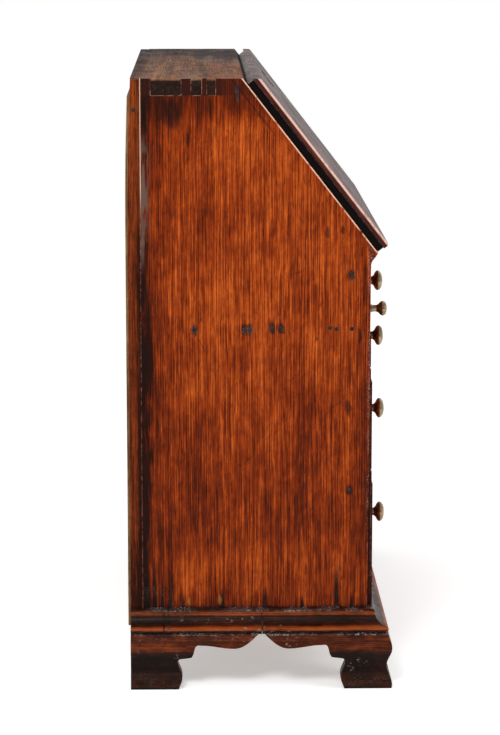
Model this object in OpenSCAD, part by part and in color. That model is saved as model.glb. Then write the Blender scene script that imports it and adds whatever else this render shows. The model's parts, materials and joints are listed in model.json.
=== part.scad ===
// Slant-front secretary desk in oak: a case of four long drawers on ogee bracket feet, a sloping
// fall that opens onto two sliding lopers, and a gallery of pigeonholes and small drawers behind it.
// Millimetres, +Z up, front towards -Y. The origin is on the floor, under the middle of the desk.

/* [Case] */
// Width over the two sides
case_w = 910; // [860:1:960]
// Height of the top surface
case_h = 1030; // [1026:1:1040]
// Thickness of the sides
side_t = 20; // [18:1:22]
// Thickness of the top board
top_t = 28; // [24:1:30]
// Distance from the origin forward to the front edges of the case
case_front = 183; // [181:0.5:184]
// Distance from the origin back to the back edges of the sides
case_back = 219.5; // [217:0.5:221]

/* [Fall] */
// Height of the writing surface
writing_h = 740; // [738:1:742]
// Slope of the fall above the horizontal
slant_deg = 52.1; // [51.5:0.1:52.6]
// Thickness of the fall
fall_t = 23; // [21:0.5:23.5]
// Width of the cleats at the ends of the fall
cleat_w = 62; // [45:1:75]

/* [Drawers] */
// Heights of the four drawer openings, from the top one down
row_h = [95, 63, 158, 164]; // [60:1:170]
// Thickness of the rails between the drawers
rail_t = 18; // [16:1:19]
// How far each drawer front stands before the case, from the top one down
row_proud = [3, 5, 7.5, 9.5]; // [1:0.5:10]
// Height of the knobs above the floor, from the top row down
knob_z = [673, 577, 449, 264]; // [200:1:700]
// Distance of the knobs from the middle of the desk
knob_x = 305; // [200:1:320]

/* [Base] */
// Height of the feet, up to the base moulding
foot_h = 94; // [90:1:98]
// Height of the base moulding
mould_h = 37; // [34:1:40]
// Length of each foot bracket, measured from its outer end
bracket_l = 216; // [205:1:218]

/* [Gallery] */
// Width of the opening for the middle door
door_gap_w = 104; // [90:1:104]
// Height of the small drawers' openings
small_h = 58; // [50:1:62]
// Height of the opening for the middle door
door_gap_h = 156; // [140:1:157]
// Thickness of the shelves and partitions
divider_t = 6; // [5:0.5:7]

/* [Hidden] */
$fn = 48;

// Running gaps, and the hairline left between boards of one joint
gap = 0.4;
side_gap = 1.2;
joint = 0.1;

// Case planes
half_w = case_w / 2;
inner_x = half_w - side_t;
front_y = -case_front;
back_y = case_back;
strip_w = 20.5;
seam_y = back_y - strip_w;
top_z = case_h - top_t;
top_back_y = back_y - 5;

// Back boards in a rebate along the back strips, standing proud of them
rebate_d = 5.5;
rebate_x = half_w - 6;
back_in_y = back_y - rebate_d;
back_out_y = 224;
bow_start_z = 780;
bow_depth = 5.5;
board_seams = [-1, -0.62, -0.2, 0.24, 0.66, 1];
seam_gap = 1.2;
lap_w = 7;
lap_t = 2.4;
lap_gap = 0.3;

// The fold: the line where the writing surface meets the slanted edge, and the fall's axis
fold_y = -197;
nose = [[-182.5, foot_h], [-185.3, 720], [-187, 726], [-193.6, 734.5], [fold_y, writing_h]];
writing_t = 20;
rail_depth = 46;
fall_end_x = half_w + 3.5;
fall_inner_end_x = half_w - 13;
fall_rebate = 13;
fall_step_z = 12.5;
fall_top_z = case_h - 0.5;
edge_r = 4.5;
lock_y = 326;

// Drawer rows: the underside of each opening, worked out from the fold downwards
row_top_z = writing_h - fall_t - gap - 0.6;
row_z0 = [for (i = [0:3]) row_top_z - sum_to(row_h, i) - i * rail_t];
front_t = 20;
board_t = 10;
base_t = 8;
box_back_y = 196;
dust_t = 8;
dust_lift = 5;
frame_back_y = 205;
bottom_rail_d = 22;
bottom_t = 20;
runner_w = 26;
front_step = 3;
bottom_lift = 6;
box_drop = 4;

// Lopers, between the sides and their guides
guide_t = 8;
loper_t = 20;
loper_in_x = inner_x - loper_t - 4;
guide_x = loper_in_x - guide_t - 2;
loper_back_y = 150;
loper_front_y = front_y - 1.5;
loper_knob_z = 642;

// Dovetail tails of the top board, as seen on the outer faces of the sides
tails = [[130, 181], [96, 114], [73, 88]];
tail_flare = 2;

// Base moulding and ogee feet, measured outwards from the case
foot_in = 10;
ogee_mid = 36.6;
ogee_amp = 4.4;
ogee_pitch = 63.8;
mitre_reach = 60;
pad_l = 80;
rear_board_t = 18;
rear_pad_l = 50;
rear_sweep = [100, 84];
block_w = 44;
block_lift = 3;
mould_joint_y = -3.5;

// Gallery
gallery_y = 34;
small_face_y = 32;
small_back_y = 205;
small_gap = 0.8;
small_front_t = 9;
small_wall = 6;
small_base_t = 5;
small_drop = 3;
door_y = 33;
door_t = 12;
door_frame_w = 20;
door_sink = 4;
door_gap = 0.6;
door_swing_gap = 1.4;
small_knob_size = 0.42;
door_axis = [-door_gap_w / 2, 31];
shelf_z = writing_h + small_h;
door_top_z = writing_h + door_gap_h;
valance_h = 40;
valance_y = [gallery_y + 2, gallery_y + 8];
hole_w = (inner_x - door_gap_w / 2 - 3 * divider_t) / 3;
half_hole_w = (inner_x - door_gap_w / 2 - 2 * divider_t) / 2;

// Fall hinges
hinge_xs = [-265, 265];
hinge_l = 64;
knuckle_r = 2.5;
knuckle_half = 10.7;
pin_r = 1.2;
leaf_t = 1.5;
leaf_l = 29;
leaf_root = 3.2;
hinge_clear = 0.3;
lock_size = [64, 40, 10];

// Door hinges
door_hinge_zs = [writing_h + 26, door_top_z - 26];
door_knuckle_r = 1.9;
door_pin_r = 0.8;
door_hinge_half = 12;
door_mid_half = 4;

// Nail heads on each side: radius, how far they stand out, and their places as Y and height
nail_r = 3.6;
nail_h = 0.7;
nail_spots = [
    [109, 611.5], [25.5, 611.5], [17, 611.5], [-20, 614.5], [-35, 613], [-153, 703.5],
    [-150.5, 336.5], [-117, 614], [-128.5, 612.5], [209, 978.5], [-154, 612.5]
];

// Colours
oak = [0.55, 0.26, 0.1];
oak_dark = [0.28, 0.13, 0.07];
oak_top = [0.42, 0.3, 0.22];
deal = [0.68, 0.52, 0.34];
brass = [0.62, 0.48, 0.26];
iron = [0.12, 0.11, 0.1];

function sum_to(list, last) = last < 0 ? 0 : list[last] + sum_to(list, last - 1);
function slant_y(z) = fold_y + (z - writing_h) / tan(slant_deg);
function arc(centre, r, from, to, steps) =
    [for (i = [0:steps]) centre + r * [cos(from + (to - from) * i / steps),
                                       sin(from + (to - from) * i / steps)]];
function ogee_out(z) = ogee_mid + ogee_amp * cos(360 * (z - 7) / ogee_pitch);

// Points up a back edge, from a height to the top, that leans in towards the top
function bowed_edge(y, z0, z1) = concat([[y, z0]], [
    for (k = [0:6])
        let(rise = (z1 - bow_start_z) * k / 6)
            [y - bow_depth * pow(rise / (case_h - bow_start_z), 2), bow_start_z + rise]
]);

// A board between two corners
module board(low, high) {
    translate(low) cube(high - low);
}

// A (Y, Z) outline run along X, and an (X, Z) outline run along Y
module run_x(x0, x1) {
    translate([x0, 0, 0]) rotate([90, 0, 90]) linear_extrude(x1 - x0) children();
}
module run_y(y0, y1) {
    translate([0, y1, 0]) rotate([90, 0, 0]) linear_extrude(y1 - y0) children();
}

module both_sides() {
    children();
    mirror([1, 0, 0]) children();
}

// ---- Sides, top and back ----

module tail_prisms(clear) {
    for (t = tails)
        translate([0, 0, top_z - clear])
            linear_extrude(top_t + 2 * clear)
                polygon([
                    [inner_x - 1, t[0] + tail_flare - clear], [half_w + clear, t[0] - clear],
                    [half_w + clear, t[1] + clear], [inner_x - 1, t[1] - tail_flare + clear]
                ]);
}

module side_board() {
    difference() {
        run_x(inner_x, half_w)
            polygon(concat(nose, [
                [slant_y(case_h), case_h], [seam_y - 0.15, case_h], [seam_y - 0.15, foot_h]
            ]));
        tail_prisms(0.05);
    }
}

module back_strip() {
    difference() {
        run_x(inner_x, half_w)
            polygon(concat(
                [[seam_y + 0.15, case_h - 1], [seam_y + 0.15, foot_h]],
                bowed_edge(back_y, foot_h, case_h - 1)
            ));
        board([inner_x - 1, back_in_y, foot_h - 1], [rebate_x, back_y + 1, top_z]);
        board([inner_x - 1, back_in_y - 20, top_z - 0.05], [inner_x + 6, back_y + 1, case_h]);
    }
}

module side_left() {
    color(oak) mirror([1, 0, 0]) side_board();
}
module side_right() {
    color(oak) side_board();
}
module back_strip_left() {
    color(oak_dark) mirror([1, 0, 0]) back_strip();
}
module back_strip_right() {
    color(oak_dark) back_strip();
}

module top_board() {
    color(oak_top) {
        run_x(-inner_x, inner_x)
            polygon([
                [slant_y(top_z), top_z], [top_back_y, top_z],
                [top_back_y, case_h], [slant_y(case_h), case_h]
            ]);
        both_sides() tail_prisms(0);
        both_sides() board([inner_x - 1, seam_y + 1, top_z + 0.05], [inner_x + 5.9, top_back_y, case_h]);
    }
}

// Upright boards of uneven width, lapped where they meet
module backboards() {
    span = rebate_x - 0.5;
    last = len(board_seams) - 2;
    lap_y = back_in_y + lap_t;
    color(deal)
        for (i = [0:last])
            let(
                x0 = board_seams[i] * span + seam_gap / 2,
                x1 = board_seams[i + 1] * span - seam_gap / 2
            )
                difference() {
                    run_x(x0, i == last ? x1 : x1 + lap_w)
                        polygon(concat(
                            [[back_in_y + 0.2, top_z - 1], [back_in_y + 0.2, foot_h + 6]],
                            bowed_edge(back_out_y, foot_h + 6, top_z - 1)
                        ));
                    if (i < last)
                        board([x1, lap_y, 0], [x1 + lap_w + 1, back_out_y + 1, case_h]);
                    if (i > 0)
                        board([x0 - 1, back_in_y, 0], [x0 + lap_w, lap_y + lap_gap, case_h]);
                }
}

// ---- Writing surface, rails and runners ----

module writing_board() {
    color(oak)
        board([-inner_x, front_y + rail_depth, writing_h - writing_t], [inner_x, back_in_y, writing_h]);
}

module hinge_recess(x) {
    translate([x, fold_y, writing_h]) {
        rotate([0, 90, 0]) cylinder(r = knuckle_r + gap, h = hinge_l + 2 * gap, center = true);
        translate([-hinge_l / 2 - gap, -1, -leaf_t]) cube([hinge_l + 2 * gap, leaf_l + 1.2, 4]);
    }
}

module fall_rail() {
    rail_bottom = row_top_z + 1.5;
    color(oak)
        difference() {
            run_x(-inner_x, inner_x)
                polygon([
                    [front_y - 2, rail_bottom], [-186.7, 726], [-193.3, 734.5], [fold_y + 0.3, writing_h],
                    [front_y + rail_depth, writing_h], [front_y + rail_depth, rail_bottom]
                ]);
            for (x = hinge_xs)
                hinge_recess(x);
        }
}

// Each rail stands as far forward as the drawer above it
module drawer_rails() {
    color(oak) {
        for (i = [0:2])
            board(
                [-inner_x, front_y - row_proud[i], row_z0[i] - rail_t],
                [inner_x, front_y + rail_depth, row_z0[i]]
            );
        board(
            [-inner_x, front_y - row_proud[3], foot_h + mould_h + joint],
            [inner_x, front_y + bottom_rail_d, row_z0[3]]
        );
        board([-inner_x, front_y, foot_h], [inner_x, front_y + bottom_rail_d, row_z0[3]]);
    }
}

function runner_in(i) = (i == 0 ? guide_x - 2 : inner_x) - runner_w;

module drawer_runners() {
    color(deal)
        for (i = [0:2])
            both_sides()
                board(
                    [runner_in(i), front_y + rail_depth, row_z0[i] - rail_t],
                    [inner_x, frame_back_y, row_z0[i]]
                );
}

module dustboards() {
    color(deal)
        for (i = [0:2])
            board(
                [-runner_in(i), front_y + rail_depth, row_z0[i] - rail_t + dust_lift],
                [runner_in(i), frame_back_y, row_z0[i] - rail_t + dust_lift + dust_t]
            );
}

module bottom_board() {
    color(deal)
        board(
            [-inner_x, front_y + bottom_rail_d, row_z0[3] - bottom_t],
            [inner_x, back_in_y, row_z0[3]]
        );
}

module loper_guides() {
    color(oak)
        both_sides()
            board(
                [guide_x, front_y, row_z0[0]],
                [guide_x + guide_t, frame_back_y, row_top_z + 1.5]
            );
}

// ---- Base moulding and feet ----

// Bead, cove and bead, as distance out from the case and height
mould_section = concat(
    [[0, foot_h], [31.5, foot_h], [31.5, foot_h + 4]],
    arc([31, foot_h + 8], 4, -60, 75, 8),
    arc([33.5, foot_h + 33.5], 21, 258, 196, 9),
    arc([9.5, foot_h + 33], 3.9, -45, 90, 8),
    [[0, foot_h + mould_h]]
);

// The half of a square corner that belongs to the right-hand side, back to a given plane
module side_mitre(to_y) {
    translate([0, 0, -1])
        linear_extrude(foot_h + mould_h + 2)
            polygon([
                [half_w, front_y], [half_w + mitre_reach, front_y - mitre_reach],
                [half_w + mitre_reach, to_y], [half_w, to_y]
            ]);
}

module base_moulding_front() {
    color(oak_dark)
        intersection() {
            translate([0, front_y, 0])
                mirror([0, 1, 0])
                    run_x(-half_w - mitre_reach, half_w + mitre_reach) polygon(mould_section);
            translate([0, 0, foot_h - 1])
                linear_extrude(mould_h + 2)
                    polygon([
                        [-half_w, front_y], [half_w, front_y],
                        [half_w + mitre_reach, front_y - mitre_reach],
                        [-half_w - mitre_reach, front_y - mitre_reach]
                    ]);
        }
}

// Two lengths that meet near the middle of the side
module side_moulding() {
    intersection() {
        translate([half_w, 0, 0])
            run_y(front_y - mitre_reach, mould_joint_y - 0.4) polygon(mould_section);
        side_mitre(mould_joint_y);
    }
    translate([half_w, 0, 0]) run_y(mould_joint_y + 0.4, back_y) polygon(mould_section);
}

module base_moulding_left() {
    color(oak_dark) mirror([1, 0, 0]) side_moulding();
}
module base_moulding_right() {
    color(oak_dark) side_moulding();
}

// A foot bracket's upright face, from its outer end inwards: pad, cusped leg, step, wave and rise
bracket_outline = concat(
    [[0, foot_h], [0, 0]],
    [for (z = [0:4:48]) [pad_l + 3.5 + 4 * cos(360 * (z - 20) / 56), z]],
    [[pad_l + 3, 51.5], [pad_l + 15, 53], [pad_l + 23, 54.5], [pad_l + 26, 60], [pad_l + 29, 72]],
    arc([pad_l + 35, 71], 6, 170, 100, 4),
    [for (s = [0:8:56]) [pad_l + 40 + s, 73.8 + 2.8 * cos(180 * s / 56)]],
    [for (s = [0.1:0.1:1]) [pad_l + 96 + s * (bracket_l - pad_l - 96),
                            71 + (foot_h - 71) * (1 - cos(90 * s))]],
    [[bracket_l, foot_h]]
);

// Ogee section of a bracket, as distance out from the case and height
ogee_section = concat(
    [[foot_in, foot_h], [foot_in, 0]],
    [for (k = [0:24]) [ogee_out(foot_h * k / 24), foot_h * k / 24]]
);

// Right-hand side bracket running back from the front corner
module side_bracket() {
    intersection() {
        translate([half_w, 0, 0]) run_y(front_y - mitre_reach, 0) polygon(ogee_section);
        run_x(half_w, half_w + mitre_reach) translate([-back_out_y, 0]) polygon(bracket_outline);
        side_mitre(0);
    }
}

// Front bracket of the right-hand front foot
module front_bracket() {
    intersection() {
        translate([0, front_y, 0])
            mirror([0, 1, 0]) run_x(0, half_w + mitre_reach) polygon(ogee_section);
        run_y(front_y - mitre_reach, front_y)
            translate([half_w + ogee_out(7), 0]) mirror([1, 0]) polygon(bracket_outline);
        translate([0, 0, -1])
            linear_extrude(foot_h + 2)
                polygon([
                    [0, front_y], [half_w - 2 * joint, front_y],
                    [half_w - 2 * joint + mitre_reach, front_y - mitre_reach],
                    [0, front_y - mitre_reach]
                ]);
    }
}

// Right-hand rear foot: an ogee side bracket and a plain board across the back
module rear_foot() {
    intersection() {
        translate([half_w, 0, 0]) run_y(0, back_y) polygon(ogee_section);
        run_x(half_w, half_w + mitre_reach) translate([back_y, 0]) mirror([1, 0]) polygon(bracket_outline);
    }
    run_y(back_y - rear_board_t, back_y)
        polygon(concat(
            [[half_w + foot_in - joint, foot_h], [half_w + foot_in - joint, 0],
             [half_w - rear_pad_l, 0]],
            [for (a = [0:15:90])
                [half_w - rear_pad_l - rear_sweep[0] * (1 - cos(a)), rear_sweep[1] * sin(a)]],
            [[half_w - rear_pad_l - rear_sweep[0], foot_h]]
        ));
}

module foot_front_left() {
    color(oak_dark) mirror([1, 0, 0]) {
        side_bracket();
        front_bracket();
    }
}
module foot_front_right() {
    color(oak_dark) {
        side_bracket();
        front_bracket();
    }
}
module foot_rear_left() {
    color(oak_dark) mirror([1, 0, 0]) rear_foot();
}
module foot_rear_right() {
    color(oak_dark) rear_foot();
}

// Glue blocks in the corners of the feet
module foot_blocks() {
    block_x = half_w + foot_in;
    rear_y = back_y - rear_board_t;
    color(deal)
        both_sides() {
            board(
                [block_x - block_w, front_y - foot_in, block_lift],
                [block_x, front_y - foot_in + block_w, foot_h]
            );
            board(
                [block_x - block_w, rear_y - block_w, block_lift],
                [block_x, rear_y, foot_h]
            );
        }
}

module nails() {
    color(iron)
        both_sides()
            for (spot = nail_spots)
                translate([half_w, spot[0], spot[1]])
                    rotate([0, 90, 0]) cylinder(r1 = nail_r, r2 = nail_r - 1.2, h = nail_h, $fn = 16);
}

// ---- Gallery behind the fall ----

function hole_x(i) = door_gap_w / 2 + divider_t + i * (hole_w + divider_t);

module gallery_shelves() {
    color(oak) {
        both_sides()
            board(
                [door_gap_w / 2 + divider_t, gallery_y, shelf_z],
                [inner_x, back_in_y, shelf_z + divider_t]
            );
        board(
            [-door_gap_w / 2, gallery_y, door_top_z],
            [door_gap_w / 2, back_in_y, door_top_z + divider_t]
        );
    }
}

module gallery_partitions() {
    color(oak)
        both_sides() {
            board(
                [door_gap_w / 2, gallery_y, writing_h],
                [door_gap_w / 2 + divider_t, back_in_y, top_z]
            );
            for (i = [1:2])
                board(
                    [hole_x(i) - divider_t, gallery_y, shelf_z + divider_t],
                    [hole_x(i), back_in_y, top_z]
                );
            board(
                [small_x(1) - divider_t, gallery_y, writing_h],
                [small_x(1), back_in_y, shelf_z]
            );
        }
}

// An arched valance that hangs at the top of one opening
module valance(x0, x1) {
    mid = (x0 + x1) / 2;
    run_y(valance_y[0], valance_y[1])
        difference() {
            polygon([[x0, top_z - valance_h], [x1, top_z - valance_h], [x1, top_z], [x0, top_z]]);
            for (side = [-1, 1])
                translate([mid + side * (x1 - x0) * 0.23, top_z - valance_h]) circle(d = (x1 - x0) * 0.42);
            translate([mid, top_z - valance_h + 8]) circle(d = (x1 - x0) * 0.34);
        }
}

module gallery_arches() {
    color(oak) {
        both_sides()
            for (i = [0:2])
                valance(hole_x(i), hole_x(i) + hole_w);
        valance(-door_gap_w / 2, door_gap_w / 2);
    }
}

// ---- Fall ----

module on_slant() {
    translate([0, fold_y, writing_h]) rotate([slant_deg, 0, 0]) children();
}

function fall_end(z) = (fall_top_z - writing_h - z * cos(slant_deg)) / sin(slant_deg);

// Side view of the fall, up the slope and out from it: rounded lower edge, and a rebate at the top
module fall_profile() {
    out = fall_t + gap;
    polygon(concat(
        [[gap, gap]],
        arc([gap + edge_r, out - edge_r], edge_r, 180, 90, 6),
        [
            [fall_end(out) - 1.5, out], [fall_end(out - 2), out - 2],
            [fall_end(fall_step_z), fall_step_z], [fall_end(gap) - fall_rebate, fall_step_z],
            [fall_end(gap) - fall_rebate, gap]
        ]
    ));
}

module fall_panel() {
    panel_x = fall_end_x - cleat_w;
    color(oak_dark)
        on_slant()
            difference() {
                run_x(-panel_x, panel_x) fall_profile();
                for (x = hinge_xs)
                    translate([x, 0, 0]) {
                        rotate([0, 90, 0])
                            cylinder(r = knuckle_r + gap, h = hinge_l + 2 * gap, center = true);
                        translate([-hinge_l / 2 - gap, -1, 0])
                            cube([hinge_l + 2 * gap, leaf_l + 1.2, gap + leaf_t]);
                    }
                translate([-lock_size[0] / 2, lock_y - lock_size[1] / 2, 0])
                    cube(lock_size + [0, 0, gap]);
            }
}

// End cleat: a lip that covers the edge of the side, over a thinner inner layer
module fall_cleat() {
    out = fall_t + gap;
    on_slant()
        intersection() {
            run_y(0, 400)
                polygon(concat(
                    [[fall_end_x - cleat_w, gap], [fall_inner_end_x, gap], [fall_inner_end_x, fall_step_z]],
                    [[fall_end_x - 1, fall_step_z]],
                    arc([fall_end_x - edge_r, out - edge_r], edge_r, 0, 90, 6),
                    [[fall_end_x - cleat_w, out]]
                ));
            run_x(0, half_w + 20) fall_profile();
        }
}

module fall_cleat_left() {
    color(oak_dark) mirror([1, 0, 0]) fall_cleat();
}
module fall_cleat_right() {
    color(oak_dark) fall_cleat();
}

module knuckle(from_x, to_x, bore_r) {
    translate([from_x, 0, 0])
        rotate([0, 90, 0])
            difference() {
                cylinder(r = knuckle_r, h = to_x - from_x);
                if (bore_r > 0)
                    translate([0, 0, -1]) cylinder(r = bore_r, h = to_x - from_x + 2);
            }
}

// Outer knuckles, pin and leaf that stay with the case
module fall_hinge_posts() {
    half_l = hinge_l / 2;
    color(brass)
        for (x = hinge_xs)
            translate([x, fold_y, writing_h]) {
                both_sides() {
                    knuckle(knuckle_half + hinge_clear, half_l, 0);
                    translate([knuckle_half + hinge_clear, 0, -leaf_t])
                        cube([half_l - knuckle_half - hinge_clear, leaf_root, leaf_t]);
                }
                rotate([0, 90, 0]) cylinder(r = pin_r, h = hinge_l - 2, center = true);
                translate([-half_l, leaf_root, -leaf_t]) cube([hinge_l, leaf_l - leaf_root, leaf_t]);
            }
}

// Middle knuckle and leaf that turn with the fall
module fall_hinge_leaves() {
    color(brass)
        on_slant()
            for (x = hinge_xs)
                translate([x, 0, 0]) {
                    knuckle(-knuckle_half, knuckle_half, pin_r + 0.07);
                    translate([-knuckle_half, pin_r + 0.5, gap]) cube([2 * knuckle_half, 2, leaf_t]);
                    translate([-hinge_l / 2, leaf_root, gap]) cube([hinge_l, leaf_l - leaf_root, leaf_t]);
                }
}

module fall_lock() {
    color(brass)
        on_slant()
            translate([-lock_size[0] / 2, lock_y - lock_size[1] / 2, gap]) cube(lock_size);
}

module keyhole_plate() {
    linear_extrude(1.4)
        difference() {
            union() {
                circle(r = 11);
                translate([0, -11]) circle(r = 8.5);
                translate([0, 12]) circle(r = 4.5);
            }
            translate([0, 2]) circle(r = 2.2);
            translate([-1, -7]) square([2, 9]);
        }
}

module fall_escutcheon() {
    color(brass) on_slant() translate([0, lock_y - 14, fall_t + gap]) keyhole_plate();
}

// ---- Lopers ----

module loper() {
    board([loper_in_x, loper_front_y, row_z0[0] + gap], [loper_in_x + loper_t, loper_back_y, row_top_z]);
}

// Spool-shaped knob, as radius and distance out
spool_section = [
    [0, 0], [9, 0], [9, 1.5], [7, 3], [5.6, 7], [5.5, 12], [7.5, 16], [11, 19], [12.5, 22],
    [12.3, 25], [10, 28], [6, 29.5], [0, 30]
];
// Mushroom knob with a flaring neck
mushroom_section = [
    [0, 0], [10, 0], [10, 1.6], [8, 3], [6.6, 6.5], [6.8, 10.5], [9, 13.5], [14, 16], [16.8, 18.5],
    [17.25, 21], [16.2, 24], [12.5, 26.8], [7, 28.4], [0, 29]
];

module knob(section, size = 1) {
    rotate([90, 0, 0]) scale(size) rotate_extrude() polygon(section);
}

module loper_knob() {
    translate([loper_in_x + loper_t / 2, loper_front_y, loper_knob_z]) knob(spool_section);
}

module loper_left() {
    color(oak) mirror([1, 0, 0]) loper();
}
module loper_right() {
    color(oak) loper();
}
module loper_knob_left() {
    color(brass) mirror([1, 0, 0]) loper_knob();
}
module loper_knob_right() {
    color(brass) loper_knob();
}

// ---- Long drawers ----

function row_half(i) = (i == 0 ? guide_x : inner_x) - side_gap;
function row_front(i) = front_y - row_proud[i];
function row_bottom(i) = row_z0[i] + gap;
function row_top(i) = row_z0[i] + row_h[i] - side_gap;

// Front board with a stepped edge
module drawer_front(i) {
    color(oak) {
        board(
            [-row_half(i), row_front(i) + front_step, row_bottom(i)],
            [row_half(i), row_front(i) + front_t, row_top(i)]
        );
        board(
            [-row_half(i) + front_step, row_front(i), row_bottom(i) + front_step],
            [row_half(i) - front_step, row_front(i) + front_step, row_top(i) - front_step]
        );
    }
}

// Two sides, a back and a bottom
module drawer_box(i) {
    x = row_half(i);
    y0 = row_front(i) + front_t;
    z0 = row_bottom(i);
    z1 = row_top(i) - box_drop;
    in_x = x - board_t - joint;
    color(deal) {
        both_sides() board([x - board_t, y0, z0], [x, box_back_y, z1]);
        board([-in_x, box_back_y - board_t, z0 + bottom_lift], [in_x, box_back_y, z1 - box_drop]);
        board(
            [-in_x, y0, z0 + bottom_lift],
            [in_x, box_back_y - board_t - joint, z0 + bottom_lift + base_t]
        );
    }
}

// Two knobs and a keyhole plate
module drawer_brasses(i) {
    plate_z = (row_bottom(i) + row_top(i)) / 2 + 6;
    color(brass)
        translate([0, row_front(i), 0]) {
            both_sides() translate([knob_x, 0, knob_z[i]]) knob(mushroom_section);
            translate([0, 0, plate_z]) rotate([90, 0, 0]) keyhole_plate();
        }
}

module drawer_1_front() { drawer_front(0); }
module drawer_1_box() { drawer_box(0); }
module drawer_1_brasses() { drawer_brasses(0); }
module drawer_2_front() { drawer_front(1); }
module drawer_2_box() { drawer_box(1); }
module drawer_2_brasses() { drawer_brasses(1); }
module drawer_3_front() { drawer_front(2); }
module drawer_3_box() { drawer_box(2); }
module drawer_3_brasses() { drawer_brasses(2); }
module drawer_4_front() { drawer_front(3); }
module drawer_4_box() { drawer_box(3); }
module drawer_4_brasses() { drawer_brasses(3); }

// ---- Small drawers and middle door ----

// Inner edges of the two openings to the right of the door, then the same mirrored to the left
function small_x(i) = door_gap_w / 2 + divider_t + i * (half_hole_w + divider_t);

module at_small(i) {
    if (i < 2) mirror([1, 0, 0]) children();
    else children();
}

function small_slot(i) = small_x(i == 0 || i == 3 ? 1 : 0);

module small_drawer(i) {
    x0 = small_slot(i) + small_gap;
    x1 = small_slot(i) + half_hole_w - small_gap;
    z0 = writing_h + gap;
    z1 = shelf_z - small_gap;
    box_y = small_face_y + small_front_t;
    low_z = z0 + small_drop;
    high_z = z1 - small_drop;
    color(oak)
        at_small(i) {
            board([x0, small_face_y, z0], [x1, box_y, z1]);
            board([x0, box_y + joint, z0], [x0 + small_wall, small_back_y, high_z]);
            board([x1 - small_wall, box_y + joint, z0], [x1, small_back_y, high_z]);
            board(
                [x0 + small_wall + joint, small_back_y - small_wall, low_z],
                [x1 - small_wall - joint, small_back_y, high_z]
            );
            board(
                [x0 + small_wall + joint, box_y + joint, low_z],
                [x1 - small_wall - joint, small_back_y - small_wall - joint, low_z + small_base_t]
            );
        }
}

module small_knob(i) {
    color(brass)
        at_small(i)
            translate([small_slot(i) + half_hole_w / 2, small_face_y, writing_h + small_h / 2])
                knob(mushroom_section, small_knob_size);
}

module small_drawer_1() { small_drawer(0); }
module small_drawer_2() { small_drawer(1); }
module small_drawer_3() { small_drawer(2); }
module small_drawer_4() { small_drawer(3); }
module small_knob_1() { small_knob(0); }
module small_knob_2() { small_knob(1); }
module small_knob_3() { small_knob(2); }
module small_knob_4() { small_knob(3); }

// Door with a sunk panel, between the two middle partitions
module prospect_door() {
    x0 = -door_gap_w / 2 + door_gap;
    x1 = door_gap_w / 2 - door_swing_gap;
    z0 = writing_h + 1;
    z1 = door_top_z - 1;
    color(oak)
        difference() {
            board([x0, door_y, z0], [x1, door_y + door_t, z1]);
            board(
                [x0 + door_frame_w, door_y - 1, z0 + door_frame_w],
                [x1 - door_frame_w, door_y + door_sink, z1 - door_frame_w]
            );
        }
}

module prospect_knob() {
    color(brass)
        translate([door_gap_w / 2 - 11, door_y, writing_h + door_gap_h / 2])
            knob(mushroom_section, small_knob_size);
}

// Outer knuckles, pin and leaf that stay with the partition
module door_hinge_posts() {
    color(brass)
        for (z = door_hinge_zs)
            translate([door_axis[0], door_axis[1], z]) {
                cylinder(r = door_pin_r, h = 2 * door_hinge_half - 1, center = true);
                for (side = [0, 1])
                    mirror([0, 0, side])
                        translate([0, 0, door_mid_half + hinge_clear])
                            cylinder(r = door_knuckle_r, h = door_hinge_half - door_mid_half - hinge_clear);
                for (side = [0, 1])
                    mirror([0, 0, side])
                        translate([-divider_t, 1.5, door_mid_half + hinge_clear])
                            cube([divider_t, 1.5, door_hinge_half - door_mid_half - hinge_clear]);
            }
}

// Middle knuckle and leaf that turn with the door
module door_hinge_leaves() {
    color(brass)
        for (z = door_hinge_zs)
            translate([door_axis[0], door_axis[1], z]) {
                difference() {
                    cylinder(r = door_knuckle_r, h = 2 * door_mid_half, center = true);
                    cylinder(r = door_pin_r + 0.07, h = 2 * door_mid_half + 2, center = true);
                }
                translate([1.2, 0.8, -door_mid_half]) cube([3, 1.2, 2 * door_mid_half]);
                translate([4.2, 0.8, -door_hinge_half]) cube([9, 1.2, 2 * door_hinge_half]);
            }
}

side_left();
side_right();
back_strip_left();
back_strip_right();
top_board();
backboards();
writing_board();
fall_rail();
drawer_rails();
dustboards();
drawer_runners();
bottom_board();
loper_guides();
base_moulding_front();
base_moulding_left();
base_moulding_right();
foot_front_left();
foot_front_right();
foot_rear_left();
foot_rear_right();
foot_blocks();
nails();
gallery_shelves();
gallery_partitions();
gallery_arches();
fall_hinge_posts();
door_hinge_posts();
fall_panel();
fall_cleat_left();
fall_cleat_right();
fall_hinge_leaves();
fall_lock();
fall_escutcheon();
loper_left();
loper_right();
loper_knob_left();
loper_knob_right();
prospect_door();
prospect_knob();
door_hinge_leaves();
drawer_1_front();
drawer_1_box();
drawer_1_brasses();
drawer_2_front();
drawer_2_box();
drawer_2_brasses();
drawer_3_front();
drawer_3_box();
drawer_3_brasses();
drawer_4_front();
drawer_4_box();
drawer_4_brasses();
small_drawer_1();
small_drawer_2();
small_drawer_3();
small_drawer_4();
small_knob_1();
small_knob_2();
small_knob_3();
small_knob_4();
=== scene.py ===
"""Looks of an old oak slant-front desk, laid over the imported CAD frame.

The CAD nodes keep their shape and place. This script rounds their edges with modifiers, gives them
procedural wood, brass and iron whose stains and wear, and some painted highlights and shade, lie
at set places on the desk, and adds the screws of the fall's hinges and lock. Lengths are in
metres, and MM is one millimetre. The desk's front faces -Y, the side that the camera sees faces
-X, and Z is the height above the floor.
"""
import json
import math
import random

import bmesh
import bpy
from mathutils import Matrix, Vector


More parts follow.
